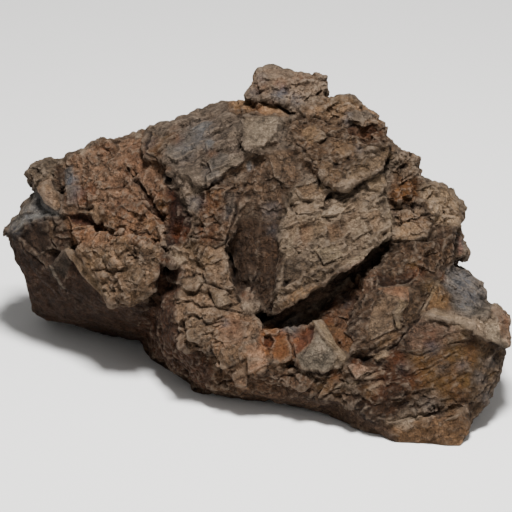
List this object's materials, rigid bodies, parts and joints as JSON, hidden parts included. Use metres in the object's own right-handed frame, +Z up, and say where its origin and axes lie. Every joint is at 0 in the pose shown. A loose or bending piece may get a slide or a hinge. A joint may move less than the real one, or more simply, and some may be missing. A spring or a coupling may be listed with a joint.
{
  "type": "rough rock",
  "caption": "Rough, fractured boulder of iron-stained stone with overhanging slabs, a deep hollow and crumbly ledges, lying on a flat face",
  "frame": {"origin": "middle of the bounding box, at the flat face the rock lies on", "axes": "+X runs to the right along the rock's length, +Y away from the side that shows best, +Z up"},
  "size_m": [1.0289, 0.7739, 0.5795],
  "materials": {
    "stone": "dull broken stone: dusty brown with rust and ochre stains, grey-blue upward faces and dark earthy undersides"
  },
  "bodies": {
    "root": {"rock": "stone"}
  },
  "joints": []
}
